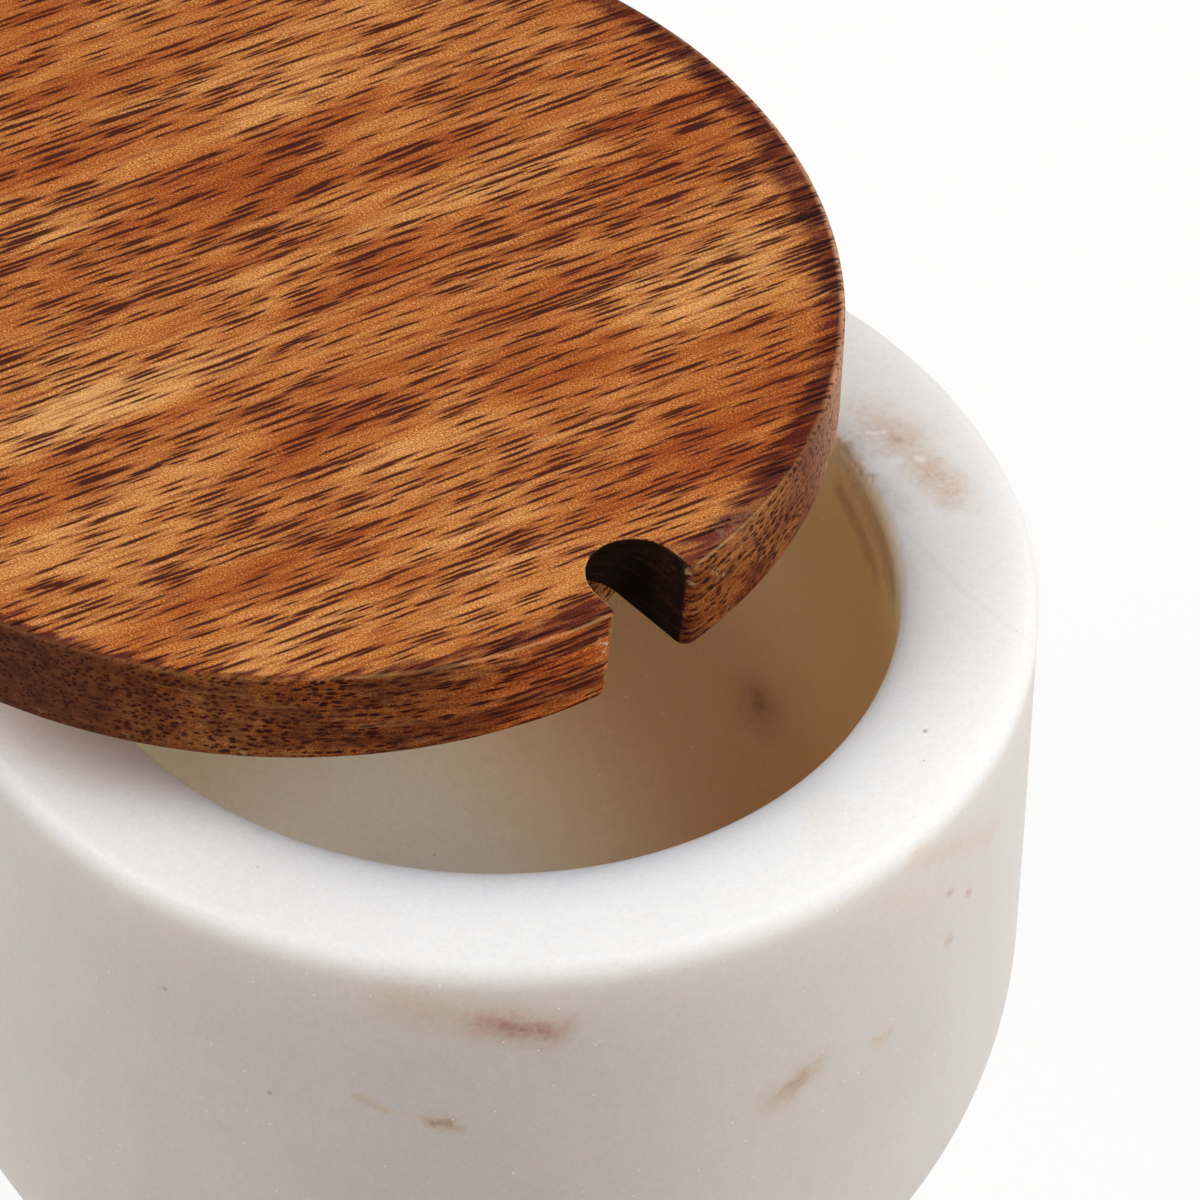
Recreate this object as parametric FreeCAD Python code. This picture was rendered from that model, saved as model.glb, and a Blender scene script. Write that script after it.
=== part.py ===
import FreeCAD, Part
import math
import os

# Jar: a turned stone bowl, straight sided above a long rounded foot.
jar_diameter = 102.0
jar_height = 74.0
wall_thickness = 12.6
floor_thickness = 11.0
foot_height = 34.7
base_diameter = 60.0
bowl_rounding = 24.0
rim_outer_rounding = 1.5
rim_inner_rounding = 0.7

# Lid plate: a wooden disc with a spoon slot cut into its edge on a slant.
plate_diameter = 103.0
plate_thickness = 9.8
plate_edge_rounding = 0.8
slot_width = 8.8
slot_depth = 7.4
slot_mouth_rounding = 1.2

# Lid plug: a smaller disc glued under the plate, which drops into the mouth of the jar.
plug_height = 9.0
plug_clearance = 1.6
plug_edge_rounding = 0.6
slot_to_plug_gap = 0.6

# The lid stands on its plug, pushed to the back of the rim.
lid_shift_side = -3.0
lid_shift_back = 25.5

cut_overrun = 2.0

# Two places count as the same within this share of the size they belong to.
match_share = 0.01

# Sizes that follow from the ones above.
jar_radius = jar_diameter / 2
base_radius = base_diameter / 2
bore_radius = jar_radius - wall_thickness
plate_radius = plate_diameter / 2
plug_radius = bore_radius - plug_clearance
plug_top = jar_height + plug_height
plate_top = plug_top + plate_thickness
slot_radius = slot_width / 2

origin = FreeCAD.Vector(0, 0, 0)
up = FreeCAD.Vector(0, 0, 1)
lid_place = FreeCAD.Vector(lid_shift_side, lid_shift_back, 0)


def line(start, end):
    return Part.LineSegment(start, end).toShape()


def arc(start, middle, end):
    return Part.Arc(start, middle, end).toShape()


def profile_point(radius, height):
    return FreeCAD.Vector(radius, 0, height)


def turned(edges):
    """One full turn of a closed half profile about the upright axis."""
    face = Part.Face(Part.Wire(edges))
    return face.revolve(origin, up, 360)


def quarter_point(centre_radius, centre_height, rounding, degrees):
    """A point on a rounded corner of the half profile, by its angle above the outward direction."""
    angle = math.radians(degrees)
    radius = centre_radius + rounding * math.cos(angle)
    height = centre_height + rounding * math.sin(angle)
    return profile_point(radius, height)


def corner(centre_radius, centre_height, rounding, start_degrees, end_degrees):
    """A rounded corner of the half profile, from one angle to the other."""
    middle_degrees = (start_degrees + end_degrees) / 2
    points = []
    for degrees in (start_degrees, middle_degrees, end_degrees):
        points.append(quarter_point(centre_radius, centre_height, rounding, degrees))
    return arc(*points)


def foot_arc():
    """The outer foot: one arc from the flat base up to the straight wall, tangent to the wall."""
    inset = jar_radius - base_radius
    foot_rounding = (inset ** 2 + foot_height ** 2) / (2 * inset)
    centre_radius = jar_radius - foot_rounding
    sweep = math.degrees(math.asin(foot_height / foot_rounding))
    return corner(centre_radius, foot_height, foot_rounding, -sweep, 0)


def jar_body():
    rim_out = rim_outer_rounding
    rim_in = rim_inner_rounding
    bowl_centre_radius = bore_radius - bowl_rounding
    bowl_centre_height = floor_thickness + bowl_rounding
    edges = [
        line(origin, profile_point(base_radius, 0)),
        foot_arc(),
        line(profile_point(jar_radius, foot_height), profile_point(jar_radius, jar_height - rim_out)),
        corner(jar_radius - rim_out, jar_height - rim_out, rim_out, 0, 90),
        line(profile_point(jar_radius - rim_out, jar_height), profile_point(bore_radius + rim_in, jar_height)),
        corner(bore_radius + rim_in, jar_height - rim_in, rim_in, 90, 180),
        line(profile_point(bore_radius, jar_height - rim_in), profile_point(bore_radius, bowl_centre_height)),
        corner(bowl_centre_radius, bowl_centre_height, bowl_rounding, 0, -90),
        line(profile_point(bowl_centre_radius, floor_thickness), profile_point(0, floor_thickness)),
        line(profile_point(0, floor_thickness), origin),
    ]
    return turned(edges)


def slot_tool():
    """The slanted cut: a round-ended slot that starts at slot_depth and comes out beside the plug."""
    top_end = slot_depth - plate_radius
    bottom_end = -plug_radius - slot_to_plug_gap
    run_per_height = (bottom_end - top_end) / plate_thickness
    round_end = top_end - run_per_height * cut_overrun
    round_centre = round_end - slot_radius
    mouth = -2 * plate_radius
    height = plate_top + cut_overrun
    outline = Part.Wire([
        line(
            FreeCAD.Vector(-slot_radius, mouth, height),
            FreeCAD.Vector(-slot_radius, round_centre, height),
        ),
        arc(
            FreeCAD.Vector(-slot_radius, round_centre, height),
            FreeCAD.Vector(0, round_end, height),
            FreeCAD.Vector(slot_radius, round_centre, height),
        ),
        line(
            FreeCAD.Vector(slot_radius, round_centre, height),
            FreeCAD.Vector(slot_radius, mouth, height),
        ),
        line(
            FreeCAD.Vector(slot_radius, mouth, height),
            FreeCAD.Vector(-slot_radius, mouth, height),
        ),
    ])
    drop = plate_thickness + 2 * cut_overrun
    slant = FreeCAD.Vector(0, run_per_height * drop, -drop)
    return Part.Face(outline).extrude(slant)


def mouth_edges(solid):
    """The upright edges where the slot's two side walls meet the rim of the plate."""
    found = []
    for edge in solid.Edges:
        box = edge.BoundBox
        upright = box.XLength + box.YLength < match_share * box.ZLength
        off_wall = abs(abs(box.Center.x) - slot_radius)
        if upright and off_wall < match_share * slot_radius:
            found.append(edge)
    return found


def rim_edges(solid):
    """The round edges of the plate's two faces. A rounding there runs on along the lips of the slot."""
    found = []
    for edge in solid.Edges:
        flat = edge.BoundBox.ZLength < match_share * plate_thickness
        if flat and edge.BoundBox.YLength > plate_radius:
            found.append(edge)
    return found


def lid_plate():
    disc = Part.makeCylinder(plate_radius, plate_thickness, FreeCAD.Vector(0, 0, plug_top), up)
    plate = disc.cut(slot_tool())
    plate = plate.makeFillet(slot_mouth_rounding, mouth_edges(plate))
    plate = plate.makeFillet(plate_edge_rounding, rim_edges(plate))
    plate.translate(lid_place)
    return plate.Solids[0]


def lid_plug():
    edges = [
        line(profile_point(0, jar_height), profile_point(plug_radius - plug_edge_rounding, jar_height)),
        corner(
            plug_radius - plug_edge_rounding,
            jar_height + plug_edge_rounding,
            plug_edge_rounding,
            -90,
            0,
        ),
        line(profile_point(plug_radius, jar_height + plug_edge_rounding), profile_point(plug_radius, plug_top)),
        line(profile_point(plug_radius, plug_top), profile_point(0, plug_top)),
        line(profile_point(0, plug_top), profile_point(0, jar_height)),
    ]
    plug = turned(edges)
    plug.translate(lid_place)
    return plug


pieces = {
    "jar_body": jar_body(),
    "lid_plate": lid_plate(),
    "lid_plug": lid_plug(),
}

os.makedirs("parts", exist_ok=True)
for name, solid in pieces.items():
    solid.exportStep("parts/" + name + ".step")
    print(name, "valid", solid.isValid(), "volume mm3", round(solid.Volume))
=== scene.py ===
import bpy
import bmesh
import math
from mathutils import Matrix, Vector, noise


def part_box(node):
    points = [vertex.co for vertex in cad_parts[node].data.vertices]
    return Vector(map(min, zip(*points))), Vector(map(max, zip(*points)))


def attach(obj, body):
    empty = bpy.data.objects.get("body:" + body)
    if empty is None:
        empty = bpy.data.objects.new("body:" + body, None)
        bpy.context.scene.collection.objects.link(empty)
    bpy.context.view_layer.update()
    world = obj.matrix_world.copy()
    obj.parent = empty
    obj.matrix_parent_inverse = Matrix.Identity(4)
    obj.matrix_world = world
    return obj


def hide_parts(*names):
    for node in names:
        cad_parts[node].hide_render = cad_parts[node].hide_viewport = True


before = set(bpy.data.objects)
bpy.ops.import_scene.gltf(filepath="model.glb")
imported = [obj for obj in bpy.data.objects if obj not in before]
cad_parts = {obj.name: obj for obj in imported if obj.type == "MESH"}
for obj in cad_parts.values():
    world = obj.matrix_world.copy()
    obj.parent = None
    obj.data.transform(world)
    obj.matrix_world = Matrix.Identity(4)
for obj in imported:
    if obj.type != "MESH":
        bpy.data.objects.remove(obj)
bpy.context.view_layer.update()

mm = 0.001  # sizes below are in metres, written as a count of millimetres


# Shader maths: a wire is one output socket, and an expression on wires adds Math nodes.
class Wire:
    def __init__(self, finish, socket):
        self.finish = finish
        self.socket = socket

    def maths(self, operation, first, second):
        return self.finish.node("ShaderNodeMath", {"operation": operation}, {0: first, 1: second})

    def __add__(self, other):
        return self.maths("ADD", self, other)

    __radd__ = __add__

    def __sub__(self, other):
        return self.maths("SUBTRACT", self, other)

    def __rsub__(self, other):
        return self.maths("SUBTRACT", other, self)

    def __mul__(self, other):
        return self.maths("MULTIPLY", self, other)

    __rmul__ = __mul__

    def __truediv__(self, other):
        return self.maths("DIVIDE", self, other)

    def __pow__(self, other):
        return self.maths("POWER", self, other)

    def __abs__(self):
        return self.maths("ABSOLUTE", self, 0)

    def least(self, other):
        return self.maths("MINIMUM", self, other)

    def most(self, other):
        return self.maths("MAXIMUM", self, other)

    def other(self, output):
        # another output of the same node
        return Wire(self.finish, self.socket.node.outputs[output])


# Marks in the stone and on the lid: how far their soft edge spreads, the reach up to which
# one counts as fine, and how strongly the speckle breaks them up.
markShape = {
    "spread": 1.25,
    "fine": 0.6,
    "speckle": (1.6, 0.1),
}


# A finish builds the nodes of one material, or of the world.
class Finish:
    def __init__(self, holder):
        self.holder = holder
        holder.use_nodes = True
        self.tree = holder.node_tree
        self.tree.nodes.clear()

    def node(self, kind, settings=None, sockets=None, out=0):
        made = self.tree.nodes.new(kind)
        for key, value in (settings or {}).items():
            if key == "stops":
                self.setStops(made.color_ramp, value)
            else:
                setattr(made, key, value)
        for key, value in (sockets or {}).items():
            if isinstance(value, Wire):
                self.tree.links.new(value.socket, made.inputs[key])
            else:
                made.inputs[key].default_value = value
        return Wire(self, made.outputs[out]) if len(made.outputs) else made

    def setStops(self, ramp, stops):
        while len(ramp.elements) < len(stops):
            ramp.elements.new(1)
        for element, (place, colour) in zip(ramp.elements, stops):
            element.position = place
            element.color = (*colour, 1)

    def vector(self, operation, first, second, out="Vector"):
        return self.node("ShaderNodeVectorMath", {"operation": operation}, {0: first, 1: second}, out)

    def scale(self, vector, amount):
        return self.node("ShaderNodeVectorMath", {"operation": "SCALE"}, {0: vector, "Scale": amount})

    def objectPlace(self, centre, turn=0):
        # object coordinates in millimetres, from a centre and turned about the upright axis
        place = self.node("ShaderNodeTexCoord", out="Object")
        moved = self.vector("SUBTRACT", place, centre)
        sockets = {"Vector": moved, "Angle": -turn}
        turned = self.node("ShaderNodeVectorRotate", {"rotation_type": "Z_AXIS"}, sockets)
        return self.scale(turned, 1 / mm)

    def split(self, vector):
        first = self.node("ShaderNodeSeparateXYZ", None, {0: vector})
        return first, first.other(1), first.other(2)

    def join(self, x, y, z):
        return self.node("ShaderNodeCombineXYZ", None, {0: x, 1: y, 2: z})

    def cloud(self, place, scale, detail=2.0, rough=0.5, out="Fac"):
        sockets = {"Vector": place, "Scale": scale, "Detail": detail, "Roughness": rough}
        return self.node("ShaderNodeTexNoise", None, sockets, out)

    def cells(self, place, scale=1.0):
        # distance to the nearest cell's middle, and a number that differs from cell to cell
        distance = self.node("ShaderNodeTexVoronoi", None, {"Vector": place, "Scale": scale})
        return distance, self.split(distance.other("Color"))[0]

    def smooth(self, value, low, high):
        # 0 at low, 1 at high
        sockets = {"Value": value, "From Min": low, "From Max": high}
        return self.node("ShaderNodeMapRange", {"interpolation_type": "SMOOTHSTEP"}, sockets)

    def veil(self, place, scale, detail, rough, low, high, strength):
        # a soft cloud as a mask
        return self.smooth(self.cloud(place, scale, detail, rough), low, high) * strength

    def blend(self, mask, under, over, mode="MIX"):
        settings = {"data_type": "RGBA", "blend_type": mode, "clamp_factor": True}
        return self.node("ShaderNodeMix", settings, {0: mask, 6: self.paint(under), 7: self.paint(over)}, 2)

    def paint(self, colour):
        return colour if isinstance(colour, Wire) else (*colour, 1)

    def bump(self, height, distance, strength=1.0):
        sockets = {"Height": height, "Distance": distance, "Strength": strength}
        return self.node("ShaderNodeBump", None, sockets)

    def markReach(self, place, start, end):
        # how far each point lies from a straight mark between two places
        step = Vector(end) - Vector(start)
        offset = self.vector("SUBTRACT", place, start)
        ahead = self.vector("DOT_PRODUCT", offset, step, "Value")
        share = (ahead / step.length_squared).most(0).least(1)
        aside = self.vector("SUBTRACT", offset, self.scale(step, share))
        return self.node("ShaderNodeVectorMath", {"operation": "LENGTH"}, {0: aside}, "Value")

    def addMarks(self, colour, marks, place, bent, speckle):
        # marks between two places in millimetres; the larger ones have a bent outline
        gain, loss = markShape["speckle"]
        for start, end, reach, stain, strength in marks:
            outline = bent if reach > markShape["fine"] else place
            near = self.smooth(self.markReach(outline, start, end), reach * markShape["spread"], 0)
            colour = self.blend(near * (speckle * gain - loss) * strength, colour, stain)
        return colour

    def surface(self, shader, output="ShaderNodeOutputMaterial"):
        self.node(output, None, {"Surface": shader})
        return self.holder


# Camera: the photograph's view, from the front left and above, leaning a little.
photoView = {
    "azimuth": -43.2,
    "elevation": 43.3,
    "lean": 3.2,
    "aimRight": 10.9 * mm,  # from the middle of the rim to the middle of the picture
    "aimUp": -2.1 * mm,
    "distance": 2081 * mm,
    "lens": 686.6,
    "sensor": 36,
}


def placeCamera(rimMiddle):
    azimuth = math.radians(photoView["azimuth"])
    elevation = math.radians(photoView["elevation"])
    lean = math.radians(photoView["lean"])
    flat = math.cos(elevation)
    back = Vector((math.sin(azimuth) * flat, -math.cos(azimuth) * flat, math.sin(elevation)))
    level = Vector((math.cos(azimuth), math.sin(azimuth), 0))
    right = level * math.cos(lean) + back.cross(level) * math.sin(lean)
    up = back.cross(right)
    aim = rimMiddle + right * photoView["aimRight"] + up * photoView["aimUp"]
    camera = bpy.data.cameras.new("photoCamera")
    camera.lens = photoView["lens"]
    camera.sensor_width = photoView["sensor"]
    camera.clip_end = 10 * photoView["distance"]
    holder = bpy.data.objects.new("photoCamera", camera)
    turn = Matrix((right, up, back)).transposed().to_4x4()
    holder.matrix_world = Matrix.Translation(aim + back * photoView["distance"]) @ turn
    bpy.context.scene.collection.objects.link(holder)
    bpy.context.scene.camera = holder


def addPiece(name, mesh):
    piece = bpy.data.objects.new(name, mesh)
    bpy.context.scene.collection.objects.link(piece)
    return piece


def finishPiece(piece, body, node):
    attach(piece, body)
    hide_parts(node)


# Turned pieces: a tree that spins the object's own half profile about the upright axis.
turnedBuild = {
    "weld": 0.001 * mm,  # points nearer than this are joined
}


def turningTree():
    tree = bpy.data.node_groups.new("turnedOnAxis", "GeometryNodeTree")
    face = tree.interface
    face.new_socket("Profile", in_out="INPUT", socket_type="NodeSocketGeometry")
    face.new_socket("Segments", in_out="INPUT", socket_type="NodeSocketInt")
    face.new_socket("Weld", in_out="INPUT", socket_type="NodeSocketFloat")
    face.new_socket("Finish", in_out="INPUT", socket_type="NodeSocketMaterial")
    face.new_socket("Turned", in_out="OUTPUT", socket_type="NodeSocketGeometry")

    def add(kind, links=None, **settings):
        made = tree.nodes.new(kind)
        for key, value in settings.items():
            setattr(made, key, value)
        for key, value in (links or {}).items():
            if isinstance(value, bpy.types.NodeSocket):
                tree.links.new(value, made.inputs[key])
            else:
                made.inputs[key].default_value = value
        return made

    given = add("NodeGroupInput").outputs
    counted = add("GeometryNodeAttributeDomainSize", {"Geometry": given["Profile"]}, component="MESH")
    rows = counted.outputs["Point Count"]
    columns = add("ShaderNodeMath", {0: given["Segments"], 1: 1}, operation="ADD").outputs[0]
    sheet = add("GeometryNodeMeshGrid", {"Vertices X": columns, "Vertices Y": rows}).outputs["Mesh"]
    index = add("GeometryNodeInputIndex").outputs[0]
    row = add("ShaderNodeMath", {0: index, 1: rows}, operation="FLOORED_MODULO").outputs[0]
    ratio = add("ShaderNodeMath", {0: index, 1: rows}, operation="DIVIDE").outputs[0]
    column = add("ShaderNodeMath", {0: ratio}, operation="FLOOR").outputs[0]
    share = add("ShaderNodeMath", {0: column, 1: given["Segments"]}, operation="DIVIDE").outputs[0]
    angle = add("ShaderNodeMath", {0: share, 1: math.tau}, operation="MULTIPLY").outputs[0]
    place = add("GeometryNodeInputPosition").outputs[0]
    links = {"Geometry": given["Profile"], "Value": place, "Index": row}
    picked = add("GeometryNodeSampleIndex", links, data_type="FLOAT_VECTOR", domain="POINT").outputs[0]
    links = {"Vector": picked, "Angle": angle}
    spun = add("ShaderNodeVectorRotate", links, rotation_type="Z_AXIS").outputs[0]
    moved = add("GeometryNodeSetPosition", {"Geometry": sheet, "Position": spun}).outputs[0]
    welded = add("GeometryNodeMergeByDistance", {"Geometry": moved, "Distance": given["Weld"]}).outputs[0]
    soft = add("GeometryNodeSetShadeSmooth", {"Geometry": welded}).outputs[0]
    real = add("GeometryNodeRealizeInstances", {"Geometry": soft}).outputs[0]
    painted = add("GeometryNodeSetMaterial", {"Geometry": real, "Material": given["Finish"]}).outputs[0]
    add("NodeGroupOutput", {"Turned": painted})
    return tree


def turnedPiece(name, profile, segments, finish, tree):
    line = bpy.data.meshes.new(name + "Profile")
    line.from_pydata([(radius, 0, height) for radius, height in profile], [], [])
    piece = addPiece(name, line)
    spin = piece.modifiers.new("turnedOnAxis", "NODES")
    spin.node_group = tree
    inputs = {item.name: item.identifier for item in tree.interface.items_tree if item.in_out == "INPUT"}
    spin[inputs["Segments"]] = segments
    spin[inputs["Weld"]] = turnedBuild["weld"]
    spin[inputs["Finish"]] = finish
    ready = piece.evaluated_get(bpy.context.evaluated_depsgraph_get())
    solid = bpy.data.meshes.new_from_object(ready)
    piece.modifiers.clear()
    piece.data = solid
    bpy.data.meshes.remove(line)
    faceOutward(solid)
    return piece


def faceOutward(mesh):
    work = bmesh.new()
    work.from_mesh(mesh)
    bmesh.ops.recalc_face_normals(work, faces=work.faces)
    if work.calc_volume(signed=True) < 0:
        bmesh.ops.reverse_faces(work, faces=work.faces)
    work.to_mesh(mesh)
    work.free()


def arcPoints(centre, radius, start, end, steps):
    # points of an arc in the half profile, angles in degrees above the outward direction
    points = []
    for step in range(steps + 1):
        angle = math.radians(start + (end - start) * step / steps)
        points.append((centre[0] + radius * math.cos(angle), centre[1] + radius * math.sin(angle)))
    return points


def linePoints(start, end, steps):
    points = []
    for step in range(steps + 1):
        share = step / steps
        points.append((start[0] + (end[0] - start[0]) * share, start[1] + (end[1] - start[1]) * share))
    return points


def chain(*runs):
    joined = []
    for run in runs:
        joined += run if not joined else run[1:]
    return joined


# Jar: white marble, straight sided above a long rounded foot.
jarBuild = {
    "wall": 12.6 * mm,
    "floor": 11 * mm,
    "footHeight": 34.7 * mm,
    "baseRadius": 30 * mm,
    "bowlRounding": 24 * mm,
    "rimOutside": 1.5 * mm,
    "rimInside": 0.7 * mm,
    "segments": 288,
    # steps of each run of the half profile
    "steps": {
        "base": 12,
        "foot": 26,
        "wall": 20,
        "rimOutside": 9,
        "rim": 8,
        "rimInside": 7,
        "bore": 20,
        "bowl": 22,
        "floor": 8,
    },
    "unevenDepth": 0.05 * mm,
    "unevenPitch": 14 * mm,
}


def jarProfile(radius, height):
    bore = radius - jarBuild["wall"]
    inset = radius - jarBuild["baseRadius"]
    foot = (inset ** 2 + jarBuild["footHeight"] ** 2) / (2 * inset)
    sweep = math.degrees(math.asin(jarBuild["footHeight"] / foot))
    rimOut = jarBuild["rimOutside"]
    rimIn = jarBuild["rimInside"]
    bowl = jarBuild["bowlRounding"]
    bowlHeight = jarBuild["floor"] + bowl
    steps = jarBuild["steps"]
    return chain(
        linePoints((0, 0), (jarBuild["baseRadius"], 0), steps["base"]),
        arcPoints((radius - foot, jarBuild["footHeight"]), foot, -sweep, 0, steps["foot"]),
        linePoints((radius, jarBuild["footHeight"]), (radius, height - rimOut), steps["wall"]),
        arcPoints((radius - rimOut, height - rimOut), rimOut, 0, 90, steps["rimOutside"]),
        linePoints((radius - rimOut, height), (bore + rimIn, height), steps["rim"]),
        arcPoints((bore + rimIn, height - rimIn), rimIn, 90, 180, steps["rimInside"]),
        linePoints((bore, height - rimIn), (bore, bowlHeight), steps["bore"]),
        arcPoints((bore - bowl, bowlHeight), bowl, 0, -90, steps["bowl"]),
        linePoints((bore - bowl, jarBuild["floor"]), (0, jarBuild["floor"]), steps["floor"]),
    )


def roughenJar(mesh):
    # hand-finished stone: the surface swells and dips a little, but not at the base it stands on
    moved = []
    for point in mesh.vertices:
        swell = noise.noise(point.co / jarBuild["unevenPitch"])
        keep = min(1, point.co.z / jarBuild["unevenPitch"])
        moved.append(point.co + point.normal * swell * jarBuild["unevenDepth"] * keep)
    mesh.vertices.foreach_set("co", [number for place in moved for number in place])
    mesh.update()


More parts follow.
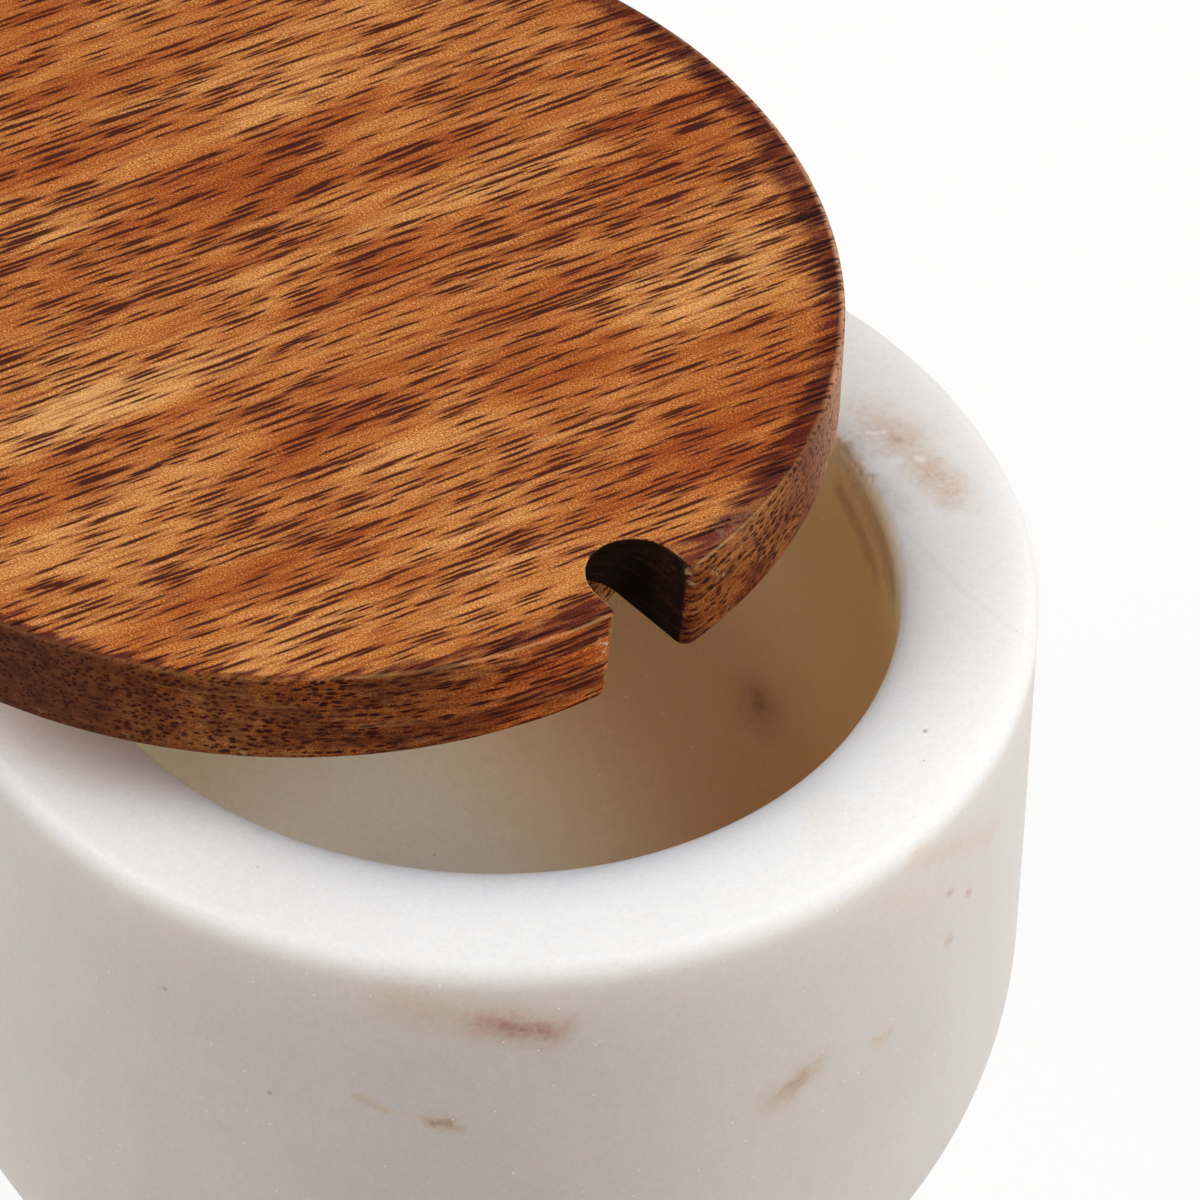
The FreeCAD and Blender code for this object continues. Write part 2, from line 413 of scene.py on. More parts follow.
marbleLook = {
    "white": (0.845, 0.829, 0.812),
    "grey": (0.775, 0.755, 0.735),
    "cream": (0.84, 0.79, 0.735),
    "wall": (0.760, 0.740, 0.720),  # painted shade: how much darker the outside wall is painted than the rim
    "paintedGlowBand": (0.2, 3.6),  # below the rim, where the wall's painted shade fades in under a painted glowing band at the rim
    # painted light: the bore is painted lighter and warmer, as bounce light from the wooden lid
    "bore": (1.18, 1.07, 0.98),
    "borePaintedShade": (0.67, 0.53, 0.31),
    # painted shade, warm as bounce light from the lid, in the bore, each along a line: reach and strength
    "borePaintedShades": [
        ((36, 16, 34), (35, -6, 24), 31, 0.95),
        ((37, 2, 66), (35, -18, 50), 30, 0.62),
    ],
    "borePaintedShadeFull": 3,  # how near a line the painted shade is full, in millimetres
    "boreEdge": 0.6,  # how far into the rim's edge the bore's colour fades
    "boreFloor": (4, 2),  # below the floor's top, where the bore's colour starts and is full
    # clouds: count per millimetre, detail, roughness, where each starts and is full, strength
    "greyCloud": (0.035, 4, 0.55, 0.45, 0.75, 0.6),
    "creamCloud": (0.028, 3, 0.5, 0.5, 0.78, 0.6),
    "veinPatch": (0.05, 2, 0.5, 0.45, 0.65, 0.25),
    "apart": (40, 10, 70),  # shift that keeps the second set of clouds apart from the first
    "vein": (0.05, 3, 0.012),  # count per millimetre, detail and width of the faint veins
    "bend": (0.45, 4, 0.5, 3.2),  # count per millimetre, detail, roughness and reach of bent outlines
    "speckle": (1.4, 3, 0.65),
    "crystalScale": 1.6,
    "crystalShade": (0.985, 0.03),  # the least light of a crystal, and how much they differ
    "crystalGloss": 0.1,
    "crystalBump": (0.02 * mm, 0.5),
    "fine": (3.2, 2, 0.6),
    "fineShade": 0.14,
    "sparkle": (0.97, 0.96, 0.95),
    "sparkleScale": 0.7,
    "sparkleSize": (0.085, 0.04),
    "sparkleChance": (0.3, 0.7),
    "sparkleStrength": 0.8,
    "flaw": (0.40, 0.34, 0.29),
    "flawScale": 0.25,
    "flawSize": (0.04, 0.015),
    "flawStrength": 0.6,
    "roughness": 0.45,
    "shine": 0.2,
    "glowDepth": 22 * mm,
    "glowTint": (1.0, 0.86, 0.72),
    # marks in the stone and one band of painted shade, each between two places in millimetres: reach,
    # colour, strength
    "marks": [
        # reddish smear under the front of the rim
        ((-38.3, -33.7, 69.0), (-28.4, -42.3, 65.8), 3.4, (0.60, 0.45, 0.36), 0.45),
        ((-32.6, -39.2, 66.9), (-27.6, -42.9, 65.7), 2.4, (0.50, 0.29, 0.22), 0.65),
        ((-31.2, -40.3, 66.6), (-28.6, -42.2, 65.9), 1.5, (0.36, 0.17, 0.12), 0.60),
        # ochre trail below it
        ((-40.6, -30.9, 56.5), (-38.9, -33.0, 55.3), 0.6, (0.55, 0.36, 0.18), 0.55),
        ((-38.9, -33.0, 55.3), (-36.4, -35.8, 54.8), 0.6, (0.64, 0.50, 0.34), 0.25),
        ((-36.2, -36.0, 54.7), (-34.2, -37.8, 54.1), 1.2, (0.52, 0.34, 0.18), 0.65),
        ((-35.5, -36.6, 54.5), (-34.8, -37.3, 54.2), 0.7, (0.30, 0.16, 0.07), 0.65),
        # tan blotches on the right of the wall
        ((-7.6, -50.4, 50.6), (-3.0, -50.9, 52.3), 2.4, (0.52, 0.38, 0.28), 0.60),
        ((-6.2, -50.6, 51.2), (-4.6, -50.8, 51.9), 1.2, (0.40, 0.26, 0.17), 0.60),
        ((4.4, -50.8, 50.9), (6.6, -50.6, 50.9), 1.0, (0.60, 0.42, 0.27), 0.60),
        ((8.5, -50.3, 71.3), (22.6, -45.7, 62.7), 1.7, (0.62, 0.46, 0.36), 0.50),
        ((6.0, -50.6, 67.9), (21.6, -46.2, 56.5), 2.0, (0.72, 0.58, 0.48), 0.30),
        ((14.2, -49.0, 62.5), (14.9, -48.8, 62.0), 0.55, (0.45, 0.27, 0.18), 0.70),
        ((17.9, -47.7, 59.4), (18.5, -47.5, 58.8), 0.55, (0.45, 0.25, 0.15), 0.75),
        ((15.0, -48.7, 56.2), (15.3, -48.6, 55.4), 0.9, (0.50, 0.36, 0.26), 0.60),
        # sugary patch on the rim, with its pale crystals
        ((42.0, -6.6, 74.0), (42.2, -9.6, 74.0), 4.0, (0.58, 0.43, 0.33), 0.65),
        ((42.1, -9.6, 74.0), (41.4, -15.6, 74.0), 2.6, (0.62, 0.48, 0.38), 0.60),
        ((41.4, -15.6, 74.0), (41.3, -18.2, 74.0), 3.2, (0.58, 0.43, 0.33), 0.65),
        ((41.8, -9.2, 74.0), (42.2, -10.0, 74.0), 0.8, (0.42, 0.28, 0.20), 0.60),
        ((41.0, -8.1, 74.0), (41.4, -8.6, 74.0), 0.7, (0.95, 0.93, 0.90), 0.90),
        ((39.8, -11.9, 74.0), (40.2, -12.2, 74.0), 0.6, (0.95, 0.93, 0.90), 0.90),
        ((41.7, -13.1, 74.0), (41.9, -13.3, 74.0), 0.6, (0.95, 0.93, 0.90), 0.90),
        # dark marks along the inner edge, and the grey and peach patches of the rim
        ((37.8, -6.7, 73.6), (37.5, -8.2, 73.6), 1.0, (0.34, 0.25, 0.16), 0.75),
        ((37.2, -9.6, 73.6), (37.0, -10.4, 73.8), 0.8, (0.30, 0.21, 0.13), 0.80),
        ((36.9, -11.8, 73.9), (36.8, -12.3, 74.0), 0.7, (0.34, 0.25, 0.16), 0.70),
        ((37.0, -13.8, 74.0), (36.3, -16.7, 74.0), 1.4, (0.58, 0.55, 0.52), 0.50),
        ((5.0, -41.5, 74.0), (2.2, -45.0, 74.0), 2.6, (0.86, 0.73, 0.62), 0.45),
        # hairline across the rim
        ((34.3, -19.7, 74.0), (33.2, -28.7, 74.0), 0.5, (0.70, 0.64, 0.59), 0.30),
        ((33.2, -28.7, 74.0), (33.6, -37.4, 74.0), 0.4, (0.70, 0.64, 0.59), 0.22),
        # single dark specks
        ((18.2, -40.5, 74.0), (18.3, -40.5, 74.0), 0.3, (0.20, 0.20, 0.20), 0.90),
        ((-49.0, -14.0, 62.3), (-49.0, -14.1, 62.3), 0.3, (0.20, 0.14, 0.10), 0.80),
        ((-44.9, -24.1, 54.4), (-44.9, -24.2, 54.4), 0.3, (0.20, 0.14, 0.10), 0.80),
        # quieter marks round the sides and back
        ((25.5, 44.2, 58.0), (19.1, 47.3, 56.5), 2.6, (0.60, 0.45, 0.36), 0.50),
        ((23.0, 45.5, 57.4), (20.5, 46.7, 56.9), 1.2, (0.42, 0.24, 0.17), 0.60),
        ((-8.9, 50.2, 44.0), (-14.1, 49.0, 46.0), 1.5, (0.56, 0.40, 0.26), 0.55),
        ((-44.2, 25.5, 52.0), (-46.6, 20.7, 50.5), 2.4, (0.58, 0.43, 0.33), 0.50),
        ((-45.9, 22.2, 51.0), (-46.5, 21.0, 50.6), 0.9, (0.40, 0.25, 0.16), 0.60),
        ((47.9, 17.4, 48.0), (45.8, 22.4, 45.0), 2.0, (0.62, 0.46, 0.36), 0.50),
        ((46.9, 20.0, 58.5), (46.5, 21.0, 58.2), 0.55, (0.45, 0.27, 0.18), 0.70),
        ((36.1, 36.0, 66.0), (36.0, 36.1, 66.0), 0.3, (0.20, 0.14, 0.10), 0.80),
        # brown spot and a dull band inside the bore, and painted shade hugging the bore's edge under the lid
        ((38.2, 2.0, 33.8), (38.0, 2.6, 33.0), 3.8, (0.50, 0.32, 0.20), 0.55),
        ((38.2, 2.0, 34.0), (38.2, 2.2, 33.6), 1.6, (0.32, 0.16, 0.09), 0.70),
        ((37.7, -7.2, 68.1), (35.4, -14.9, 65.1), 1.8, (0.26, 0.20, 0.12), 0.40),
        # painted shade: a dark band hugging the bore's edge under the lid
        ((37.6, -7.6, 72.4), (33.2, -19.3, 69.0), 3.4, (0.24, 0.18, 0.11), 0.50),
    ],
}


def marbleFinish(radius, height):
    look = marbleLook
    f = Finish(bpy.data.materials.new("honedMarble"))
    place = f.objectPlace((0, 0, 0))
    aside = f.vector("ADD", place, look["apart"])
    colour = f.blend(f.veil(place, *look["greyCloud"]), look["white"], look["grey"])
    colour = f.blend(f.veil(aside, *look["creamCloud"]), colour, look["cream"])
    bendScale, bendDetail, bendRough, bendReach = look["bend"]
    wobble = f.vector("SUBTRACT", f.cloud(place, bendScale, bendDetail, bendRough, "Color"), (0.5, 0.5, 0.5))
    bent = f.vector("ADD", place, f.scale(wobble, bendReach))
    veinScale, veinDetail, veinWidth = look["vein"]
    ridge = f.smooth(abs(f.cloud(bent, veinScale, veinDetail) - 0.5), veinWidth, 0)
    colour = f.blend(ridge * f.veil(aside, *look["veinPatch"]), colour, look["grey"])

    # the bore is painted lighter and warmer as bounce light, and the outside wall is painted darker as shade
    # below a painted glowing band at the rim
    x, y, z = f.split(place)
    across = (x * x + y * y) ** 0.5
    bore = (radius - jarBuild["wall"]) / mm
    floor = jarBuild["floor"] / mm
    floorStart, floorFull = look["boreFloor"]
    inside = f.smooth(across, bore + look["boreEdge"], bore)
    inside = inside * f.smooth(z, floor - floorStart, floor - floorFull)
    rimTop = height / mm
    fadeStart, fadeEnd = look["paintedGlowBand"]
    # painted shade on the outside wall, fading in below a painted glowing band at the rim
    wallPaintedShade = (1 - inside) * f.smooth(z, rimTop - fadeStart, rimTop - fadeEnd)
    colour = f.blend(wallPaintedShade, colour, look["wall"], "MULTIPLY")
    colour = f.blend(inside, colour, look["bore"], "MULTIPLY")
    # painted shade, warm as bounce light from the lid, in the bore along lines
    for start, end, reach, strength in look["borePaintedShades"]:
        boreShade = f.smooth(f.markReach(bent, start, end), reach, look["borePaintedShadeFull"])
        colour = f.blend(inside * boreShade * strength, colour, look["borePaintedShade"])

    # marks and painted shade, dark flaws, pale sparkles and the crystals' own shades
    colour = f.addMarks(colour, look["marks"], place, bent, f.cloud(place, *look["speckle"]))
    flaw, chance = f.cells(aside, look["flawScale"])
    colour = f.blend(f.smooth(flaw, *look["flawSize"]) * chance * look["flawStrength"], colour, look["flaw"])
    spark, chance = f.cells(place, look["sparkleScale"])
    spark = f.smooth(spark, *look["sparkleSize"]) * f.smooth(chance, *look["sparkleChance"])
    colour = f.blend(spark * look["sparkleStrength"], colour, look["sparkle"])
    grain = f.cells(place, look["crystalScale"])[1]
    fine = f.cloud(place, *look["fine"]) - 0.5
    least, differ = look["crystalShade"]
    colour = f.scale(colour, least + grain * differ + fine * look["fineShade"])
    shader = f.node("ShaderNodeBsdfPrincipled", None, {
        "Base Color": colour,
        "Roughness": look["roughness"] + (grain - 0.5) * look["crystalGloss"],
        "Subsurface Weight": 1.0,
        "Subsurface Radius": look["glowTint"],
        "Subsurface Scale": look["glowDepth"],
        "Specular IOR Level": look["shine"],
        "Normal": f.bump(grain, *look["crystalBump"]),
    })
    return f.surface(shader)


# Lid: a wooden plate with a spoon slot cut slanted into its edge, and a plug under it.
lidBuild = {
    "edgeRounding": 0.5 * mm,
    "slotWidth": 8.8 * mm,
    "slotDepth": 7.4 * mm,
    "slotMouth": 1.2 * mm,
    "slotToPlug": 0.6 * mm,
    "slotShift": (0.8 * mm, 0.15 * mm),  # the cut leans: how far to the right at the top and bottom
    "plugRounding": 0.6 * mm,
    "capInset": 1.25,  # where the flat faces begin, in shares of the edge rounding
    "rimSteps": 420,
    "cornerSteps": 6,
    "wallSteps": 6,
    "slotEndSteps": 24,
    "edgeSteps": 6,
    "sideSteps": 12,
    "plugSteps": 6,
    "plugSegments": 160,
}


def lidSizes():
    low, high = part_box("lid_plate")
    plugLow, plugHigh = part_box("lid_plug")
    radius = (high[0] - low[0]) / 2
    plugRadius = (plugHigh[0] - plugLow[0]) / 2
    slotHalf = lidBuild["slotWidth"] / 2
    return {
        "centre": Vector(((low[0] + high[0]) / 2, high[1] - radius, 0)),
        "radius": radius,
        "bottom": low[2],
        "top": high[2],
        "plugRadius": plugRadius,
        "plugBottom": plugLow[2],
        "slotHalf": slotHalf,
        # where the round end is centred, on the two faces
        "slotTop": lidBuild["slotDepth"] - radius - slotHalf,
        "slotBottom": -plugRadius - lidBuild["slotToPlug"] - slotHalf,
    }


def slotCorner(size, x):
    # centre of a mouth corner's rounding, and its direction from the lid's middle
    y = -math.sqrt((size["radius"] - lidBuild["slotMouth"]) ** 2 - x ** 2)
    return (x, y), math.degrees(math.atan2(y, x)) % 360


def plateOutline(size, inset, endPlace, shift):
    # one loop round the plate: rim, left corner, left wall, round end, right wall, right corner
    half = size["slotHalf"] + inset
    corner = lidBuild["slotMouth"] - inset
    reach = size["slotHalf"] + lidBuild["slotMouth"]
    leftMiddle, leftAngle = slotCorner(size, shift - reach)
    rightMiddle, rightAngle = slotCorner(size, shift + reach)
    left = shift - half
    right = shift + half
    cornerSteps = lidBuild["cornerSteps"]
    wallSteps = lidBuild["wallSteps"]
    return chain(
        arcPoints((0, 0), size["radius"] - inset, rightAngle - 360, leftAngle, lidBuild["rimSteps"]),
        arcPoints(leftMiddle, corner, leftAngle, 360, cornerSteps),
        linePoints((left, leftMiddle[1]), (left, endPlace), wallSteps),
        arcPoints((shift, endPlace), half, 180, 0, lidBuild["slotEndSteps"]),
        linePoints((right, endPlace), (right, rightMiddle[1]), wallSteps),
        arcPoints(rightMiddle, corner, 180, rightAngle, cornerSteps),
    )[:-1]


def plateLevels(size):
    # (inset, height) of each loop from the middle of the top, over the edge, to the underside
    rounding = lidBuild["edgeRounding"]
    edgeSteps = lidBuild["edgeSteps"]
    sideSteps = lidBuild["sideSteps"]
    top = size["top"]
    bottom = size["bottom"]
    turns = [math.radians(90 * step / edgeSteps) for step in range(edgeSteps + 1)]
    levels = [(rounding * lidBuild["capInset"], top)]
    levels += [(rounding * (1 - math.sin(turn)), top - rounding * (1 - math.cos(turn))) for turn in turns]
    deep = top - bottom - 2 * rounding
    levels += [(0, top - rounding - deep * step / sideSteps) for step in range(1, sideSteps)]
    levels += [(rounding * (1 - math.cos(turn)), bottom + rounding * (1 - math.sin(turn))) for turn in turns]
    levels.append((rounding * lidBuild["capInset"], bottom))
    return levels


def slotShift(share):
    top, bottom = lidBuild["slotShift"]
    return top + share * (bottom - top)


def platePiece(size, finish):
    work = bmesh.new()
    loops = []
    for inset, height in plateLevels(size):
        share = (size["top"] - height) / (size["top"] - size["bottom"])
        endPlace = size["slotTop"] + (size["slotBottom"] - size["slotTop"]) * share
        outline = plateOutline(size, inset, endPlace, slotShift(share))
        places = [(x + size["centre"].x, y + size["centre"].y, height) for x, y in outline]
        loops.append([work.verts.new(place) for place in places])
    for upper, lower in zip(loops, loops[1:]):
        for here in range(len(upper)):
            there = (here + 1) % len(upper)
            work.faces.new((upper[here], lower[here], lower[there], upper[there]))
    caps = [work.faces.new(loops[0]), work.faces.new(loops[-1][::-1])]
    for cap in caps:
        cap.normal_update()
    bmesh.ops.triangulate(work, faces=caps)
    for side in work.faces:
        side.smooth = True
    mesh = bpy.data.meshes.new("lidPlate")
    work.to_mesh(mesh)
    work.free()
    faceOutward(mesh)
    mesh.materials.append(finish)
    return addPiece("lidPlate", mesh)


def plugProfile(size):
    rounding = lidBuild["plugRounding"]
    radius = size["plugRadius"]
    low = size["plugBottom"]
    steps = lidBuild["plugSteps"]
    return chain(
        linePoints((0, low), (radius - rounding, low), steps),
        arcPoints((radius - rounding, low + rounding), rounding, -90, 0, steps),
        linePoints((radius, low + rounding), (radius, size["bottom"]), steps),
        linePoints((radius, size["bottom"]), (0, size["bottom"]), steps),
    )


woodLook = {
    "grainAngle": math.radians(-11),
    # how the grain wanders: length and width of a swing, and how far it strays, in millimetres
    "wander": [(45, 16, 2.2), (5, 1.6, 0.35)],
    # tones from the darkest to the palest
    "tones": [
        (0.14, (0.140, 0.021, 0.005)),
        (0.36, (0.270, 0.047, 0.009)),
        (0.56, (0.420, 0.120, 0.025)),
        (0.76, (0.600, 0.258, 0.070)),
        (0.94, (0.760, 0.440, 0.170)),
    ],
    "tone": 0.595,
    # length, width and weight of the clouds that shift the tone
    "streaks": (40, 2.4, 0.55),
    "patches": (18, 7, 0.60),
    "toneDetail": (4, 0.6),
    "fleck": (0.24, 0.10, 1.30),
    "fleckDetail": 1,
    # broad zones along and across the grain: middle, half length and width, shift of tone
    "zones": [
        ((-14.3, -4.5), (26, 4.5), 0.16),
        ((35.0, -15.5), (14, 8), 0.12),
        ((-29.5, -21.0), (14, 5), 0.10),
        ((-21.9, -41.2), (12, 5), 0.14),
        ((18.6, 22.8), (14, 4), 0.10),
        ((15.2, 2.9), (28, 3), 0.07),
        ((4.2, 17.4), (16, 4), -0.18),
        ((43.5, 5.0), (12, 4), -0.15),
        ((17.6, -20.3), (10, 6), -0.14),
        ((29.6, -35.2), (14, 8), -0.16),
        ((-23.3, -31.5), (9, 3), -0.12),
        ((11.0, -14.3), (12, 2), -0.10),
        ((2.2, 31.9), (14, 5), -0.08),
        ((1.3, -38.1), (11, 6), 0.10),
        ((1.7, -9.9), (12, 6), 0.05),
        ((-3.7, 23.2), (14, 6), -0.05),
    ],
    # pores: length and width of the cell each lies in, a shift that keeps the sets apart and
    # the share of cells that hold one
    "poreCells": [(9.0, 0.60, 3.7, 0.90), (6.0, 0.52, 11.3, 0.85), (7.5, 0.56, 19.1, 0.50)],
    "poreFray": (1.1, 0.13, 0.16),  # length, width and depth of the ragged outline of a pore
    "poreSize": (0.7, 0.75),  # the least size of a pore in its cell, and how much they differ
    "poreChance": 0.05,  # how soft the choice of filled cells is
    "poreSunk": 0.25,  # how much fainter an empty cell's pore is
    "crowd": (16, 5, 1.3),
    "lineCells": (34, 0.62, 7.9, 0.8),
    "lineBands": [(-12.5, 2.2), (-4.0, 1.6), (5.0, 1.4), (19.0, 1.2)],
    "lineEdge": 0.5,  # where a band of lines starts to thin out, in shares of its half width
    "halo": (0.190, 0.032, 0.008),
    "haloEdge": (0.54, 0.24),
    "haloStrength": 0.7,
    "pore": (0.034, 0.006, 0.005),
    "poreEdge": (0.30, 0.21),
    "poreStrength": 0.92,
    "stain": (0.25, 0.15, 0.30),  # share of the wood's own colour that shows through
    "sideStain": (0.060, 0.013, 0.008),
    "stainWidth": (1.5, 1.5),  # all round, and how much wider toward the side painted lighter
    # painted shade: the long grain side is painted darker than the top
    "sidePaintedShade": (0.54, 0.46, 0.42),
    # end grain side: dark partly as painted shade, and a paler colour painted as light where it faces the
    # lamps on the right
    "side": (0.098, 0.031, 0.014),
    "paintedLitSide": (0.43, 0.215, 0.120),
    "paintedLitToward": math.radians(-28),  # where the side is painted lightest, facing the lamps on the right, about the lid's middle
    "worn": (0.60, 0.35, 0.15),
    "scratch": (0.36, 0.18, 0.065),
    # burnt wood; in the slot and on the plug it also stands in for painted shade
    "burntAndShaded": (0.012, 0.006, 0.004),
    "roughness": 0.42,
    "roughnessShift": (0.2, 0.15),  # of the pores and of the flecks
    "bump": (0.08 * mm, 0.5),
    "fleckBump": 0.25,
    "shine": 0.02,
    "glossRoughness": 0.35,
    "plateGloss": 0.09,
    "plugGloss": 0.07,
    "plugPaleness": 0.12,
}


def woodGrain(f, size):
    # the grain's own coordinates in millimetres: along, across (wandering) and up
    along, across, rise = f.split(f.objectPlace(size["centre"], woodLook["grainAngle"]))
    for length, width, stray in woodLook["wander"]:
        drift = f.cloud(f.join(along / length, across / width, rise / width), 1.0) - 0.5
        across = across + drift * stray
    return along, across, rise


def grainCloud(f, grain, length, width, detail=2.0, rough=0.5):
    along, across, rise = grain
    return f.cloud(f.join(along / length, across / width, rise / width), 1.0, detail, rough)


def grainTone(f, grain, fleck, paleness):
    look = woodLook
    tone = look["tone"] + paleness + (fleck - 0.5) * look["fleck"][2]
    for length, width, weight in (look["streaks"], look["patches"]):
        tone = tone + (grainCloud(f, grain, length, width, *look["toneDetail"]) - 0.5) * weight
    for middle, half, shift in look["zones"]:
        ahead = (grain[0] - middle[0]) / half[0]
        aside = (grain[1] - middle[1]) / half[1]
        tone = tone + f.smooth(ahead * ahead + aside * aside, 1, 0) * shift
    return tone


def poreDashes(f, grain, length, gap, shift, filled, crowd=0):
    # distance to the nearest pore, in shares of its cell; far away where the cell holds none
    look = woodLook
    along, across, rise = grain
    distance, chance = f.cells(f.join(along / length + shift, across / gap + shift, rise / gap))
    empty = f.smooth(chance - crowd, filled - look["poreChance"], filled + look["poreChance"])
    least, differ = look["poreSize"]
    return distance / (least + chance * differ) + empty * look["poreSunk"]


def poreReach(f, grain):
    # short pores in loose crowds, and long lines in a few bands
    look = woodLook
    length, width, weight = look["crowd"]
    crowd = (grainCloud(f, grain, length, width) - 0.5) * weight
    near = [poreDashes(f, grain, *cell, crowd) for cell in look["poreCells"]]
    away = 1
    for middle, half in look["lineBands"]:
        away = away - f.smooth(abs(grain[1] - middle), half, half * look["lineEdge"])
    lines = poreDashes(f, grain, *look["lineCells"]) + away.most(0)
    length, width, depth = look["poreFray"]
    fray = (grainCloud(f, grain, length, width) - 0.5) * depth
    return near[0].least(near[1]).least(near[2]).least(lines) + fray


def woodFinish(name, size, paleness, wearAndShade):
    look = woodLook
    f = Finish(bpy.data.materials.new(name))
    grain = woodGrain(f, size)
    fleck = grainCloud(f, grain, *look["fleck"][:2], look["fleckDetail"])
    tone = grainTone(f, grain, fleck, paleness)
    colour = f.node("ShaderNodeValToRGB", {"stops": look["tones"]}, {"Fac": tone})
    pores = poreReach(f, grain)
    core = f.smooth(pores, *look["poreEdge"])
    colour = f.blend(f.smooth(pores, *look["haloEdge"]) * look["haloStrength"], colour, look["halo"])
    colour = f.blend(core * look["poreStrength"], colour, look["pore"])
    colour, gloss = wearAndShade(f, size, grain, colour, core)
    poreRough, fleckRough = look["roughnessShift"]
    shader = f.node("ShaderNodeBsdfPrincipled", None, {
        "Base Color": colour,
        "Roughness": look["roughness"] + core * poreRough + (fleck - 0.5) * fleckRough,
        "Specular IOR Level": look["shine"],
        "Coat Weight": gloss,
        "Coat Roughness": look["glossRoughness"],
        "Normal": f.bump(fleck * look["fleckBump"] - core, *look["bump"]),
    })
    return f.surface(shader)


# Wear, painted shade and painted light of the plate, in millimetres about the lid's middle unless a note
# says otherwise.
plateLook = {
    # scuffs, from the lid's middle and the floor: as the marks in the stone
    "scuffs": [
        ((9.5, -49.4, 92.8), (13.5, -48.6, 92.8), 1.2, (0.24, 0.13, 0.09), 0.35),
        ((5.0, -50.6, 92.0), (5.2, -51.0, 90.4), 0.7, (0.50, 0.33, 0.16), 0.60),
        ((7.5, -51.0, 91.2), (9.5, -50.6, 89.0), 0.5, (0.42, 0.25, 0.10), 0.60),
        ((-5.0, -51.2, 90.4), (-5.4, -51.2, 88.6), 1.0, (0.60, 0.45, 0.30), 0.80),
        ((-4.6, -51.0, 89.0), (-4.6, -51.0, 85.0), 0.6, (0.46, 0.28, 0.12), 0.65),
    ],
    "scuffSpeckle": (1.3, 3, 0.7, 0.46, 0.62, 1.0),
    "nearSlotAcross": (30, 8),
    "nearSlotAhead": (0, -20),
    "ragged": (5, 0.8),  # length and width of the ragged lines along the grain
    "broad": (0.045, 1),  # count per millimetre and detail of the broad clouds
    "chips": (0.4, 4, 0.7, 0.58, 0.70, 1.0),
    # stained rim of the top: where it widens, how far it frays, where it starts and is full
    "stainWiden": (-0.2, 0.8),
    "stainFray": (4, 4),
    "stainEdge": (1.2, 0.5),
    "stainPatch": (0.40, 0.56),
    "stainDepth": (0.65, 0.35),
    # side: end grain and long grain, with painted shade, and painted light toward the lamps on the right
    "paintedLitPlace": (0.72, 0.97),
    "endShade": (0.45, 0.6, 0.6),  # the least light, and what the ragged lines and broad clouds add
    "endLines": (0.3, 0.7),
    "endPores": 0.75,
    "warmLeft": (-24, -7),  # the warm stretch left of the slot
    "warmRight": (6, -2),
    "warmGain": 1.3,
    "sideBands": (12, 3),
    "sideBandEdge": (0.46, 0.60),
    "sideBandStrength": 0.5,
    "streak": (7, 0.5),  # length and height of the saw's streaks on the side
    "streakDetail": (3, 0.6),
    "darkStreak": (0.50, 0.40),
    "darkStreakStrength": 0.4,
    "paleStreak": (0.56, 0.68),
    "paleStreakStrength": 0.3,
    "runOut": (0.25, 0.7),
    "sideEdge": (0.75, 0.2),
    # rubbed edges
    "edgeLine": (0.2, 0.16, 0.05),  # middle, reach and full width of the line, inward from the rim
    "edgeHeight": (0.9, 0.45),  # below the top
    "rubbed": (0.05, 0.28, 0.12, 0.4),  # all round, near the slot, chips, chips near the slot
    "bottomChips": (1.6, 0.3),  # above the underside
    "bottomChipStrength": 0.5,
    # burnt slot, darkened further with painted shade
    "burntEdge": (0.2, 0.05),
    "burntDepth": 0.985,
    "burntStreak": (0.5, 0.65),
    "burntStreakStrength": 0.06,
    "lipLine": (0.25, 0.22, 0.08),
    "lipHeight": (0.5, 0.1),  # below the top
    "lipSide": (-1, -3.5),
    "lipWorn": (0.25, 0.5),  # all along, and in chips
    "cornerReach": (1.0, 0.4),
    "cornerInward": (1.6, 0.4),
    "cornerStrength": 0.4,
    "dullness": 0.85,  # how much of the gloss the side and the burnt, shaded walls of the slot lose
}


def stainedTop(f, bare, inward, toward, ragged, broad):
    # dark stain along the rim of the top, ragged along the grain
    wearAndShade = plateLook
    narrow, extra = woodLook["stainWidth"]
    wide = narrow + f.smooth(toward, *wearAndShade["stainWiden"]) * extra
    fray = (ragged - 0.5) * wearAndShade["stainFray"][0] + (broad - 0.5) * wearAndShade["stainFray"][1]
    stain = f.smooth((inward - fray) / wide, *wearAndShade["stainEdge"])
    least, more = wearAndShade["stainDepth"]
    depth = least + f.smooth(ragged, *wearAndShade["stainPatch"]) * more
    return f.blend(stain * depth, bare, woodLook["stain"], "MULTIPLY")


def endGrainSide(f, toward, ragged, broad, core):
    look = woodLook
    wearAndShade = plateLook
    # end grain: dark with painted shade, painted paler as light where it faces the lamps on the right
    colour = f.blend(f.smooth(toward, *wearAndShade["paintedLitPlace"]), look["side"], look["paintedLitSide"])
    least, lines, clouds = wearAndShade["endShade"]
    colour = f.scale(colour, least + f.smooth(ragged, *wearAndShade["endLines"]) * lines + broad * clouds)
    return f.blend(core * wearAndShade["endPores"], colour, look["pore"])


